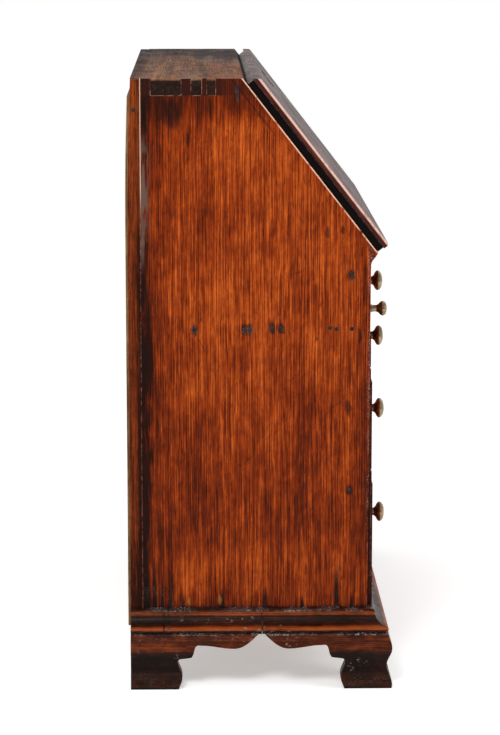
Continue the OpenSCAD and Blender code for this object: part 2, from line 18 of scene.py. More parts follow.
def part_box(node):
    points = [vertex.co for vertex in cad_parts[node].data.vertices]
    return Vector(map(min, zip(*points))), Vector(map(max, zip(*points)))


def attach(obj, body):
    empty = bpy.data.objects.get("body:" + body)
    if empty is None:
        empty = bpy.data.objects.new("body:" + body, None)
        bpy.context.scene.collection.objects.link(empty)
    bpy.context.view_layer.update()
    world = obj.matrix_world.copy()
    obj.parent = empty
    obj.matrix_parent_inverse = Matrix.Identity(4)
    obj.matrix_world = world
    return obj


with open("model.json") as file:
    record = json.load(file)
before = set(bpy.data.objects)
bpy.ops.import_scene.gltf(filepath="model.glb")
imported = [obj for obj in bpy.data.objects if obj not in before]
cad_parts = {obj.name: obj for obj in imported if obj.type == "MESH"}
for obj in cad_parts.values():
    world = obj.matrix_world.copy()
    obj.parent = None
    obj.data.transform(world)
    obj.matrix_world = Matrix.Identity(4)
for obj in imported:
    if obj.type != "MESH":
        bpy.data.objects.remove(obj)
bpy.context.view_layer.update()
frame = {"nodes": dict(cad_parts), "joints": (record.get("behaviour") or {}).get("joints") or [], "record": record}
NODES = frame["nodes"]
SLOT_OF = {part["node"]: part["material_slot"] for part in frame["record"]["subparts"]}

MM = 0.001

# ---------------------------------------------------------------- places taken from the frame

SIDE_LOW, SIDE_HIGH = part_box("side_left")
STRIP_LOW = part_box("back_strip_left")[0]
TOP_LOW, TOP_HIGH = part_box("top_board")
INNER, SIDE_HALF = (corner.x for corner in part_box("side_right"))
SIDE_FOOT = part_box("base_moulding_left")[1].z
FOOT_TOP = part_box("foot_front_left")[1].z
FALL_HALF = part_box("fall_cleat_right")[1].x

# the fall's hinge line, its slope when closed, and the directions up the slope and into the desk
FALL_JOINT = next(joint for joint in frame["joints"] if joint["name"] == "fall_hinge")
FOLD = Vector(FALL_JOINT["pos_m"])
SLOPE = math.pi - math.radians(FALL_JOINT["range_deg"][1])
UP_SLOPE = Vector((0, math.cos(SLOPE), math.sin(SLOPE)))
INWARD = Vector((0, math.sin(SLOPE), -math.cos(SLOPE)))
SLOPE_TOP_Y = FOLD.y + (TOP_HIGH.z - FOLD.z) / math.tan(SLOPE)


# ---------------------------------------------------------------- node helpers

def srgb(red, green, blue):
    """Linear colour of a display colour given in 0 to 255."""
    def linear(value):
        value /= 255
        return value / 12.92 if value <= 0.04045 else ((value + 0.055) / 1.055) ** 2.4
    return (linear(red), linear(green), linear(blue), 1)


class Paint:
    """A material, and short calls that add nodes to it and return their output sockets."""

    def __init__(self, name):
        self.material = bpy.data.materials.new(name)
        self.material.use_nodes = True
        self.tree = self.material.node_tree
        self.bsdf = self.tree.nodes["Principled BSDF"]
        self.place = self.add("ShaderNodeTexCoord").outputs["Object"]
        split = self.add("ShaderNodeSeparateXYZ")
        self.feed(split.inputs[0], self.place)
        self.x, self.y, self.z = split.outputs

    def add(self, kind, **settings):
        node = self.tree.nodes.new(kind)
        for key, value in settings.items():
            setattr(node, key, value)
        return node

    def feed(self, socket, value):
        """Links a socket to another, or sets it to a constant."""
        if isinstance(value, bpy.types.NodeSocket):
            self.tree.links.new(value, socket)
        else:
            socket.default_value = value

    def math(self, operation, first, second=0.0):
        node = self.add("ShaderNodeMath", operation=operation)
        self.feed(node.inputs[0], first)
        self.feed(node.inputs[1], second)
        return node.outputs[0]

    def plus(self, first, second):
        return self.math("ADD", first, second)

    def minus(self, first, second):
        return self.math("SUBTRACT", first, second)

    def times(self, first, *others):
        for other in others:
            first = self.math("MULTIPLY", first, other)
        return first

    def absolute(self, value):
        return self.math("ABSOLUTE", value)

    def largest(self, values):
        total = values[0]
        for value in values[1:]:
            total = self.math("MAXIMUM", total, value)
        return total

    def centred(self, value, weight):
        """A noise value as a swing about zero."""
        return self.times(self.minus(value, 0.5), weight)

    def vector(self, operation, first, second):
        node = self.add("ShaderNodeVectorMath", operation=operation)
        self.feed(node.inputs[0], first)
        self.feed(node.inputs[1], second)
        return node.outputs["Value" if operation == "DOT_PRODUCT" else "Vector"]

    def fit(self, value, low, high, to_low=0.0, to_high=1.0):
        """Eases from one level to another as the value goes from low to high."""
        node = self.add("ShaderNodeMapRange", interpolation_type="SMOOTHSTEP")
        self.feed(node.inputs["Value"], value)
        for name, number in zip(("From Min", "From Max", "To Min", "To Max"), (low, high, to_low, to_high)):
            node.inputs[name].default_value = number
        return node.outputs["Result"]

    def noise(self, place, detail, roughness=0.5, distortion=0.0):
        node = self.add("ShaderNodeTexNoise")
        self.feed(node.inputs["Vector"], place)
        node.inputs["Scale"].default_value = 1
        node.inputs["Detail"].default_value = detail
        node.inputs["Roughness"].default_value = roughness
        node.inputs["Distortion"].default_value = distortion
        return node.outputs["Fac"]

    def clouds(self, scale, detail, roughness=0.5):
        """Noise with so many patches to the metre along X, Y and Z."""
        return self.noise(self.vector("MULTIPLY", self.place, scale), detail, roughness)

    def ramp(self, value, stops):
        node = self.add("ShaderNodeValToRGB")
        self.feed(node.inputs["Fac"], value)
        elements = node.color_ramp.elements
        while len(elements) < len(stops):
            elements.new(0.5)
        for element, (position, colour) in zip(elements, stops):
            element.position = position
            element.color = colour
        return node.outputs["Color"]

    def mix(self, amount, first, second):
        """The first colour where the amount is 0, the second where it is 1."""
        node = self.add("ShaderNodeMix", data_type="RGBA")
        self.feed(node.inputs["Factor"], amount)
        self.feed(node.inputs[6], first)
        self.feed(node.inputs[7], second)
        return node.outputs[2]

    def combine(self, value):
        """One number as all three parts of a vector."""
        node = self.add("ShaderNodeCombineXYZ")
        for socket in node.inputs:
            self.feed(socket, value)
        return node.outputs[0]

    def turned(self, place, angle):
        """A place turned about the X axis."""
        node = self.add("ShaderNodeVectorRotate", rotation_type="X_AXIS")
        self.feed(node.inputs["Vector"], place)
        node.inputs["Angle"].default_value = angle
        return node.outputs["Vector"]

    def bump(self, height, strength, distance, normal=None):
        node = self.add("ShaderNodeBump")
        node.inputs["Strength"].default_value = strength
        node.inputs["Distance"].default_value = distance
        self.feed(node.inputs["Height"], height)
        if normal is not None:
            self.feed(node.inputs["Normal"], normal)
        return node.outputs["Normal"]

    def crevice(self, distance):
        """1 in corners and cracks, 0 in the open."""
        node = self.add("ShaderNodeAmbientOcclusion", samples=6)
        node.inputs["Distance"].default_value = distance
        return self.minus(1.0, node.outputs["AO"])

    def arris(self, radius):
        """1 along sharp edges, 0 on flat faces."""
        bevel = self.add("ShaderNodeBevel", samples=4)
        bevel.inputs["Radius"].default_value = radius
        geometry = self.add("ShaderNodeNewGeometry")
        same = self.vector("DOT_PRODUCT", bevel.outputs["Normal"], geometry.outputs["Normal"])
        return self.fit(same, 0.995, 0.8)

    def oval(self, y, z, centre_y, centre_z, reach_y, reach_z):
        """1 in the middle of an oval stain, fading to 0 at its rim."""
        off_y = self.times(self.minus(y, centre_y), 1 / reach_y)
        off_z = self.times(self.minus(z, centre_z), 1 / reach_z)
        return self.fit(self.plus(self.times(off_y, off_y), self.times(off_z, off_z)), 1.0, 0.1)


# ---------------------------------------------------------------- wood

# four display colours of each wood, from its darkest fibres to its palest
OAK_WARM = ((34, 10, 4), (76, 23, 4), (122, 42, 6), (184, 86, 28))
OAK_HONEY = ((58, 24, 8), (108, 48, 14), (154, 76, 24), (200, 116, 50))
OAK_RED = ((34, 10, 3), (66, 22, 5), (98, 38, 9), (136, 62, 22))
OAK_LID = ((22, 8, 6), (44, 15, 11), (66, 26, 19), (98, 50, 38))
OAK_DARK = ((10, 5, 3), (28, 12, 6), (60, 23, 8), (134, 60, 22))
OAK_DUSTY = ((26, 15, 10), (68, 42, 27), (112, 74, 50), (168, 116, 78))
DEAL = ((62, 42, 26), (102, 74, 48), (136, 102, 68), (168, 134, 96))
TONE_STOPS = (0.10, 0.34, 0.58, 0.90)

# near black for soot, stains and dark joints, and also for painted shade in cracks, gaps and holes
SOOT_AND_SHADE = srgb(15, 9, 8)
CRUMB = srgb(196, 186, 180)

ALONG_X, ALONG_Y, ALONG_Z = range(3)


def oak(name, palette, axis, seed, turn=0.0, gloss=0.42, shine=0.05, wear=0.5, dirt_and_shade=0.7, patchy=0.55,
        fine=1.5, coarse=0.4, tone_marks=None, colour_marks=None):
    """Old wood with its grain along one axis, after an optional turn about X.

    The seed picks a different board. Gloss is the roughness of the wax and shine its strength; wear
    pales the edges, and dirt paints grime and shade into the corners, cracks and gaps. Patchy, fine
    and coarse weigh the clouds, fibres and broad bands of the grain. The marks change the tone or
    the colour at set places.
    """
    paint = Paint(name)
    place = paint.vector("ADD", paint.place, (seed * 1.37, seed * 0.71, seed * 2.13))
    if turn:
        place = paint.turned(place, turn)

    def grain(source, across, along, detail, roughness=0.5, distortion=0.0):
        """Noise with so many patches to the metre across the grain and along it."""
        scale = [across] * 3
        scale[axis] = along
        return paint.noise(paint.vector("MULTIPLY", source, tuple(scale)), detail, roughness, distortion)

    sway = paint.combine(paint.centred(grain(place, 8, 2, 2), 14 * MM))
    bent = paint.vector("ADD", place, sway)
    patches = grain(place, 13, 6, 5, 0.65)
    bands = grain(bent, 130, 2.2, 4, 0.65)
    fibres = grain(bent, 600, 8, 3, 0.7)
    mottle = grain(place, 90, 40, 4, 0.7, 0.3)
    pore = paint.fit(grain(bent, 780, 36, 2, 0.6), 0.42, 0.34)

    tone = 0.5
    for value, weight in ((patches, patchy), (bands, coarse), (fibres, fine), (mottle, 0.55)):
        tone = paint.plus(tone, paint.centred(value, weight))
    if tone_marks:
        tone = tone_marks(paint, tone)
    colour = paint.ramp(tone, [(stop, srgb(*shade)) for stop, shade in zip(TONE_STOPS, palette)])
    inside_pore = srgb(*[channel * 0.4 for channel in palette[0]])
    colour = paint.mix(paint.times(pore, 0.6), colour, inside_pore)
    if colour_marks:
        colour = colour_marks(paint, colour)

    chipped = paint.fit(paint.clouds((120, 120, 120), 4, 0.7), 0.40, 0.62)
    pale = tuple(min(1.0, channel * 1.3 + 0.12) for channel in srgb(*palette[3])[:3]) + (1,)
    colour = paint.mix(paint.times(paint.arris(1.6 * MM), chipped, wear), colour, pale)
    # painted shade with grime: ambient occlusion blackens corners, cracks and the gaps between parts
    colour = paint.mix(paint.times(paint.fit(paint.crevice(9 * MM), 0.22, 0.75), dirt_and_shade), colour, SOOT_AND_SHADE)
    paint.feed(paint.bsdf.inputs["Base Color"], colour)

    wax = paint.fit(paint.clouds((23, 23, 23), 4, 0.6), 0.3, 0.7, gloss - 0.06, gloss + 0.1)
    paint.feed(paint.bsdf.inputs["Roughness"], paint.plus(wax, paint.times(pore, 0.2)))
    paint.bsdf.inputs["Specular IOR Level"].default_value = shine

    height = paint.minus(paint.times(fibres, 0.6), paint.times(pore, 0.5))
    surface = paint.bump(height, 0.35, 0.35 * MM)
    dents = paint.clouds((14, 14, 14), 3)
    paint.feed(paint.bsdf.inputs["Normal"], paint.bump(dents, 0.25, 2.2 * MM, surface))
    return paint.material


def crumbs(paint, colour, where):
    """Grains of pale dust and old wax that lie here and there where a mask says."""
    grains = paint.fit(paint.clouds((420, 420, 420), 4, 0.8), 0.52, 0.62)
    lying = paint.fit(paint.clouds((26, 26, 40), 3, 0.6), 0.44, 0.62)
    return paint.mix(paint.times(grains, lying, where), colour, CRUMB)


# ---------------------------------------------------------------- marks on the sides

# stained nails as (y, z)
NAILS = [(0.109, 0.6115), (0.0255, 0.6115), (0.017, 0.6115), (-0.02, 0.6145), (-0.035, 0.613),
         (-0.153, 0.7035), (-0.1505, 0.3365)]
NAIL_STAIN = (7.5 * MM, 13 * MM)

# knots and bruises as (y, z, half width and half height in mm)
KNOTS = [(-0.152, 0.703, 8, 9), (-0.148, 0.478, 5, 13), (-0.150, 0.336, 6, 8), (0.147, 0.972, 18, 24),
         (-0.112, 0.775, 4, 11), (-0.137, 0.780, 3, 8), (-0.095, 0.595, 2, 5), (-0.167, 0.600, 4, 14),
         (0.190, 0.955, 4, 26), (-0.062, 0.930, 3, 7), (0.150, 0.170, 5, 26), (0.120, 0.930, 3, 12)]
KNOT_SPREAD = 1.3 * MM

# tongues of damp that climb from the foot, as (y, half width and height in mm)
DAMP = [(0.179, 6, 96), (0.152, 5, 52), (0.130, 4, 30), (0.0645, 6, 38), (-0.009, 6, 44),
        (-0.0725, 4, 24), (-0.1305, 6, 96), (-0.156, 4, 30), (0.166, 4, 70), (0.193, 6, 80)]

# spots of old ochre filler as (y, z, half width, half height)
OCHRE_SPOTS = [(0.120, 0.143, 3 * MM, 8 * MM), (0.0675, 0.146, 3.5 * MM, 10 * MM)]

# scratches as (y, z) of both ends
SCRATCHES = [((0.106, 0.604), (0.088, 0.566)), ((0.038, 0.372), (0.004, 0.404)),
             ((0.002, 0.412), (-0.022, 0.436)), ((-0.10, 0.455), (-0.145, 0.500)),
             ((-0.044, 0.700), (-0.086, 0.720)), ((-0.03, 0.51), (-0.075, 0.545))]
SCRATCH_HALF = 1.0 * MM

# a painted pool of light in the middle of a side, as (y, z, half width, half height)
PAINTED_LIGHT_POOL = (0.0, 0.72, 0.26, 0.34)

OCHRE = srgb(138, 98, 34)
DOVETAIL_BLACK = srgb(28, 15, 13)
DOVETAIL_BROWN = srgb(52, 18, 10)
STREAK_GREY = srgb(120, 96, 84)
SIDE_FILLER = srgb(206, 180, 152)
# pale colour of the slanted arris, partly chafe and partly a painted highlight
CHAFE_AND_HIGHLIGHT_OAK = srgb(226, 178, 150)
CORNER_GREY = srgb(44, 38, 40)


def side_tone(paint, tone):
    """Tone of a side: darker to the back, the foot, the top and the front edge, with a painted pool of light in
    the middle.
    """
    y, z = paint.y, paint.z
    wander = paint.centred(paint.clouds((1, 70, 9), 4, 0.65), 45 * MM)
    back = paint.plus(y, wander)
    tone = paint.minus(tone, paint.fit(back, SIDE_HIGH.y - 75 * MM, SIDE_HIGH.y - 20 * MM, 0, 0.12))
    edge = paint.fit(back, SIDE_HIGH.y - 19 * MM, SIDE_HIGH.y - 7 * MM, 0, 0.5)
    lower_half = paint.fit(z, 0.75, 0.45)
    tone = paint.minus(tone, paint.times(edge, paint.fit(lower_half, 0, 1, 0.35, 1)))
    tone = paint.minus(tone, paint.fit(z, 0.45, 0.30, 0, 0.03))
    bright_foot = paint.times(paint.fit(z, 0.28, 0.2), paint.fit(z, 0.135, 0.17, 0, 0.08))
    tone = paint.plus(tone, bright_foot)
    upper = paint.fit(paint.plus(z, wander), SIDE_HIGH.z - 90 * MM, SIDE_HIGH.z - 35 * MM, 0, 0.2)
    tone = paint.minus(tone, upper)
    tone = paint.minus(tone, paint.fit(y, SIDE_LOW.y + 50 * MM, SIDE_LOW.y + 10 * MM, 0, 0.1))
    # painted light: a brighter oval in the middle of the side
    return paint.plus(tone, paint.times(paint.oval(y, z, *PAINTED_LIGHT_POOL), 0.1))


def strip_tone(paint, tone):
    """The back strip is black beside the seam and towards its foot."""
    near = paint.plus(paint.y, paint.centred(paint.clouds((1, 70, 12), 4, 0.65), 12 * MM))
    seam = paint.times(paint.fit(near, STRIP_LOW.y + 10 * MM, STRIP_LOW.y + 2 * MM, 0, 0.55),
                       paint.fit(paint.z, 0.86, 0.70, 0.2, 1))
    tone = paint.minus(tone, seam)
    tone = paint.minus(tone, paint.fit(paint.z, 0.32, 0.16, 0, 0.35))
    return paint.plus(tone, paint.fit(paint.z, 0.70, 0.80, 0, 0.08))


def scratch(paint, y, z, start, end):
    """1 along a fine line between two places on a side."""
    (start_y, start_z), (end_y, end_z) = start, end
    length = math.hypot(end_y - start_y, end_z - start_z)
    ahead_y = (end_y - start_y) / length
    ahead_z = (end_z - start_z) / length
    from_y = paint.minus(y, (start_y + end_y) / 2)
    from_z = paint.minus(z, (start_z + end_z) / 2)
    along = paint.plus(paint.times(from_y, ahead_y), paint.times(from_z, ahead_z))
    across = paint.minus(paint.times(from_y, ahead_z), paint.times(from_z, ahead_y))
    return paint.oval(along, across, 0, 0, length / 2, SCRATCH_HALF)


def dovetail_band(paint, colour, y):
    """The band of dovetails under the top, black towards the back and red-brown in front."""
    band = paint.fit(paint.z, TOP_LOW.z - 0.5 * MM, TOP_LOW.z + 1.0 * MM)
    behind = paint.fit(y, 58 * MM, 66 * MM)
    colour = paint.mix(paint.times(band, behind, 0.9), colour, DOVETAIL_BLACK)
    return paint.mix(paint.times(band, 0.55), colour, DOVETAIL_BROWN)


def back_edge(paint, colour, y):
    """Grime with a worn grey streak beside the seam, and pale filler in the seam's upper end."""
    z = paint.z
    seam = paint.times(paint.fit(y, SIDE_HIGH.y - 17 * MM, SIDE_HIGH.y - 9 * MM),
                       paint.fit(paint.clouds((1, 60, 11), 3, 0.6), 0.44, 0.56))
    grey = paint.times(seam, paint.fit(z, 0.70, 0.76), paint.fit(z, 0.95, 0.9))
    colour = paint.mix(paint.times(seam, 0.6), colour, SOOT_AND_SHADE)
    colour = paint.mix(paint.times(grey, 0.45), colour, STREAK_GREY)
    filler = paint.times(paint.fit(paint.y, SIDE_HIGH.y - 1.9 * MM, SIDE_HIGH.y - 1.0 * MM),
                         paint.fit(z, 0.80, 0.86))
    return paint.mix(paint.times(filler, 0.75), colour, SIDE_FILLER)


def from_slope(paint):
    """How far inside the slope through the hinge line a place lies, square to that slope."""
    return paint.minus(paint.times(paint.minus(paint.y, FOLD.y), math.sin(SLOPE)),
                       paint.times(paint.minus(paint.z, FOLD.z), math.cos(SLOPE)))


def side_colour(paint, colour):
    """Stains of a side: nails, knots, damp, scratches and the dovetails' dark band, with a painted shadow above
    the base moulding and a pale arris that is partly chafe and partly painted highlight.
    """
    shift = paint.centred(paint.clouds((1, 150, 60), 4, 0.7), 12 * MM)
    ragged_y = paint.plus(paint.y, shift)
    ragged_z = paint.plus(paint.z, paint.times(shift, 1.4))
    swayed_y = paint.plus(paint.y, paint.times(shift, 0.25))

    halos = paint.largest([paint.oval(ragged_y, ragged_z, y, z, *NAIL_STAIN) for y, z in NAILS])
    knots = paint.largest([paint.oval(ragged_y, ragged_z, y, z, wide * KNOT_SPREAD, high * KNOT_SPREAD)
                           for y, z, wide, high in KNOTS])
    damp = paint.largest([paint.oval(swayed_y, ragged_z, y, SIDE_FOOT, wide * MM, high * MM)
                          for y, wide, high in DAMP])
    stains = [paint.times(halos, 0.85), paint.times(knots, 0.7), paint.times(damp, 0.92)]
    colour = paint.mix(paint.largest(stains), colour, SOOT_AND_SHADE)
    ochre = paint.largest([paint.oval(ragged_y, ragged_z, *spot) for spot in OCHRE_SPOTS])
    colour = paint.mix(paint.times(ochre, 0.55), colour, OCHRE)
    lines = paint.largest([scratch(paint, ragged_y, ragged_z, *ends) for ends in SCRATCHES])
    colour = paint.mix(paint.times(lines, 0.6), colour, SOOT_AND_SHADE)

    colour = dovetail_band(paint, colour, ragged_y)
    colour = back_edge(paint, colour, ragged_y)

    inside = from_slope(paint)
    # partly chafe and partly painted highlight: a pale line along the slanted arris
    chafe = paint.fit(paint.clouds((60, 60, 60), 3, 0.6), 0.3, 0.5)
    outer = paint.fit(paint.absolute(paint.x), SIDE_HALF - 2.5 * MM, SIDE_HALF - 1.2 * MM)
    chafe_and_highlight = paint.times(paint.fit(inside, 2.6 * MM, 1.2 * MM), paint.fit(paint.z, 0.735, 0.745),
                            chafe, outer)
    colour = paint.mix(paint.times(chafe_and_highlight, 0.85), colour, CHAFE_AND_HIGHLIGHT_OAK)
    # painted shadow: a black line on the side just above the base moulding, where the moulding meets it
    foot = paint.fit(ragged_z, SIDE_FOOT + 6 * MM, SIDE_FOOT + 1 * MM, 0, 0.8)
    colour = paint.mix(foot, colour, SOOT_AND_SHADE)
    corner = paint.oval(ragged_y, ragged_z, SLOPE_TOP_Y + 9 * MM, TOP_LOW.z + 6 * MM, 4.5 * MM, 19 * MM)
    colour = paint.mix(paint.times(corner, 0.85), colour, CORNER_GREY)
    off_line = paint.absolute(paint.minus(inside, 15 * MM))
    scribe = paint.times(paint.fit(off_line, 2.6 * MM, 0.8 * MM), paint.fit(paint.z, 0.93, 0.95))
    colour = paint.mix(paint.times(scribe, 0.45), colour, SOOT_AND_SHADE)

    foot_crack = paint.fit(paint.z, SIDE_FOOT + 3.5 * MM, SIDE_FOOT + 1 * MM)
    front_edge = paint.fit(paint.y, SIDE_LOW.y + 18 * MM, SIDE_LOW.y + 14 * MM)
    dusty = ((foot_crack, 0.8), (front_edge, 0.45), (halos, 0.25), (corner, 0.5), (damp, 0.1))
    return crumbs(paint, colour, paint.largest([paint.times(mask, weight) for mask, weight in dusty]))


# ---------------------------------------------------------------- marks on the drawer fronts

# black-brown of end grain with painted shade, on the ends of the fronts and rails
END_SHADE_BROWN = srgb(40, 20, 18)


def end_grain_and_shade(paint, colour):
    """Ends of the drawer fronts and rails, black-brown as end grain and as painted shade on these edges."""
    # painted shade with end grain: the ends of the fronts and rails darkened
    ends = paint.fit(paint.absolute(paint.x), INNER - 9 * MM, INNER - 4 * MM, 0, 0.85)
    return paint.mix(ends, colour, END_SHADE_BROWN)


def keyhole(front):
    """Colour marks of one drawer front: its ends darkened as end grain and painted shade, and the keyhole's dark
    inside painted black on the wood behind the plate.
    """
    low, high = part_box(front)
    height = (low.z + high.z) / 2 + 4 * MM

    def marks(paint, colour):
        # painted shade: the dark inside of the keyhole, painted black
        keyhole_shade = paint.times(paint.oval(paint.x, paint.z, 0, height, 3.2 * MM, 9 * MM),
                           paint.fit(paint.y, low.y + 4 * MM, low.y + 2 * MM))
        return paint.mix(keyhole_shade, end_grain_and_shade(paint, colour), SOOT_AND_SHADE)
    return marks


# ---------------------------------------------------------------- marks on the base

SCUFFED = srgb(150, 138, 130)

# where a side moulding's two lengths meet, and the two ends of a repair in it, as Y
MOULD_JOINT = -3.5 * MM
REPAIR_ENDS = (0.155, 0.163)


def painted_light_bands(heights):
    """Tone marks that paint highlights, with some wear, on raised beads and paint shade in hollows, from (low,
    high, change) of each.
    """
    def marks(paint, tone):
        patchy_painted_light = paint.fit(paint.clouds((9, 9, 9), 3, 0.6), 0.25, 0.6, 0.55, 1.0)
        for low, high, change in heights:
            soft = (high - low) * 0.25
            band = paint.times(paint.fit(paint.z, low - soft, low + soft),
                               paint.fit(paint.z, high + soft, high - soft), patchy_painted_light)
            tone = paint.plus(tone, paint.times(band, change))
        return tone
    return marks


def scuffs(paint, colour):
    """Dry pale scuffs, cracks across the side mouldings, and crumbs in the joints and on the feet."""
    flakes = paint.fit(paint.clouds((95, 95, 160), 5, 0.7), 0.57, 0.70)
    patch = paint.fit(paint.clouds((11, 11, 16), 2), 0.48, 0.62)
    colour = paint.mix(paint.times(flakes, patch, 0.6), colour, SCUFFED)
    middle = (FOOT_TOP + SIDE_FOOT) / 2
    joint, repair, repair_back = (paint.oval(paint.y, paint.z, y, middle, 2.2 * MM, 30 * MM)
                                  for y in (MOULD_JOINT, *REPAIR_ENDS))
    cracks = paint.largest([joint, repair, repair_back])
    colour = paint.mix(paint.times(cracks, 0.8), colour, SOOT_AND_SHADE)
    seams = [paint.fit(paint.absolute(paint.minus(paint.z, height)), 2.5 * MM, 1.0 * MM)
             for height in (FOOT_TOP, SIDE_FOOT - 1 * MM)]
    toes = paint.fit(paint.z, 34 * MM, 8 * MM, 0, 0.1)
    dusty = [paint.times(mask, 0.7) for mask in (*seams, repair)]
    return crumbs(paint, colour, paint.largest(dusty + [toes]))


# painted highlights on the beads and painted shade in the cove and in the gap over the feet
MOULD_LIGHT_AND_SHADE = painted_light_bands([
    (SIDE_FOOT - 9 * MM, SIDE_FOOT - 3 * MM, 0.4), (FOOT_TOP + 16 * MM, SIDE_FOOT - 11 * MM, -0.14),
    (FOOT_TOP + 7 * MM, FOOT_TOP + 13 * MM, 0.45), (FOOT_TOP, FOOT_TOP + 5 * MM, -0.5)])
# a painted highlight on the feet's upper bulge, and painted shade in their cove and along their bottoms
FOOT_LIGHT_AND_SHADE = painted_light_bands([
    (66 * MM, 93 * MM, 0.1), (24 * MM, 60 * MM, -0.3), (4 * MM, 24 * MM, -0.1), (0, 4 * MM, -0.3)])


# ---------------------------------------------------------------- marks on the top and the fall

WORN_ORANGE = srgb(140, 72, 36)
FAR_BLACK = srgb(40, 27, 25)
TOP_DUST = srgb(140, 118, 102)
RIM_DARK = srgb(24, 14, 12)
RIM_PALE = srgb(48, 30, 27)
# near black painted as shade on the fall's rebated inner layer
LID_GAP_SHADE = srgb(5, 3, 3)
# pale colour of a painted highlight on the fall's outer arris
LID_ARRIS_HIGHLIGHT = srgb(224, 180, 164)


def top_tone(paint, tone):
    """The top darkens to its back, to its right-hand end and under its rim."""
    tone = paint.minus(tone, paint.fit(paint.y, 0.185, 0.205, 0, 0.22))
    tone = paint.minus(tone, paint.fit(paint.x, 0.05, 0.40, 0, 0.3))
    return paint.minus(tone, paint.fit(paint.z, TOP_HIGH.z - 1.5 * MM, TOP_HIGH.z - 5 * MM, 0, 0.3))


def top_colour(paint, colour):
    """Dust over the top, a front edge worn orange and black at its far end, and a dark rim."""
    x, y = paint.x, paint.y
    worn = paint.fit(paint.clouds((14, 60, 20), 4, 0.6), 0.42, 0.6)
    front = paint.times(paint.fit(y, 0.10, 0.07), worn, paint.fit(x, 0.1, -0.15))
    colour = paint.mix(paint.times(front, 0.55), colour, WORN_ORANGE)
    far = paint.times(paint.fit(y, 0.115, 0.095), paint.fit(x, 0.02, 0.12))
    colour = paint.mix(paint.times(far, 0.8), colour, FAR_BLACK)
    dust = paint.fit(paint.clouds((5, 30, 9), 4, 0.6), 0.5, 0.7, 0, 0.3)
    colour = paint.mix(dust, colour, TOP_DUST)
    rim = paint.fit(paint.z, TOP_HIGH.z - 2 * MM, TOP_HIGH.z - 5 * MM, 0, 0.92)
    speckled = paint.mix(paint.fit(paint.clouds((300, 300, 300), 3), 0.45, 0.75), RIM_DARK, RIM_PALE)
    return paint.mix(rim, colour, speckled)


def lid_colour(paint, colour):
    """The fall's rebated inner layer is painted near black as shade at its ends, and the arris over it gets a pale
    painted highlight.
    """
    outward = paint.times(from_slope(paint), -1)
    ends = paint.absolute(paint.x)
    # painted shade: the rebated inner layer at the fall's ends, in the gap over the side, painted near black
    inner = paint.times(paint.fit(outward, 13.2 * MM, 12.4 * MM),
                        paint.fit(ends, FALL_HALF - 19 * MM, FALL_HALF - 17 * MM))
    colour = paint.mix(paint.times(inner, 0.97), colour, LID_GAP_SHADE)
    # painted highlight: a broken pale line along the outer arris at the fall's ends
    patchy_painted_light = paint.fit(paint.clouds((9, 26, 26), 5, 0.7), 0.34, 0.5, 0.25, 1)
    rim = paint.times(paint.fit(outward, 18.6 * MM, 20.8 * MM),
                      paint.fit(ends, FALL_HALF - 5.5 * MM, FALL_HALF - 3.5 * MM))
    return paint.mix(paint.times(rim, patchy_painted_light, 0.8), colour, LID_ARRIS_HIGHLIGHT)


# ---------------------------------------------------------------- metal

BRASS = ((92, 72, 52), (168, 146, 112), 1.0)
IRON = ((16, 13, 12), (52, 44, 40), 0.7)
# dark brown for grime and painted shade in the metal's hollows
GRIME_AND_SHADE = srgb(24, 17, 10)


def metal(name, dark, light, metallic, rough_low, rough_high, reach=14 * MM):
    """Cloudy old metal, darkened by grime and painted shade as far into its hollows as the reach."""
    paint = Paint(name)
    cloud = paint.clouds((70, 70, 70), 6, 0.6)
    # grime with painted shade: ambient occlusion darkens hollows and the parts close to the wood behind
    grime_and_shade = paint.fit(paint.crevice(reach), 0.05, 0.6)
    colour = paint.ramp(cloud, [(0.3, srgb(*dark)), (0.68, srgb(*light))])
    paint.feed(paint.bsdf.inputs["Base Color"], paint.mix(grime_and_shade, colour, GRIME_AND_SHADE))
    paint.bsdf.inputs["Metallic"].default_value = metallic
    paint.feed(paint.bsdf.inputs["Roughness"], paint.fit(cloud, 0.3, 0.7, rough_high, rough_low))
    paint.feed(paint.bsdf.inputs["Normal"], paint.bump(cloud, 0.15, 0.4 * MM))
    return paint.material


# ---------------------------------------------------------------- a finish for each node

def moulded(name, axis, seed):
    return oak(name, OAK_DARK, axis, seed, gloss=0.34, shine=0.08, fine=0.8, coarse=0.25,
               tone_marks=MOULD_LIGHT_AND_SHADE, colour_marks=scuffs)


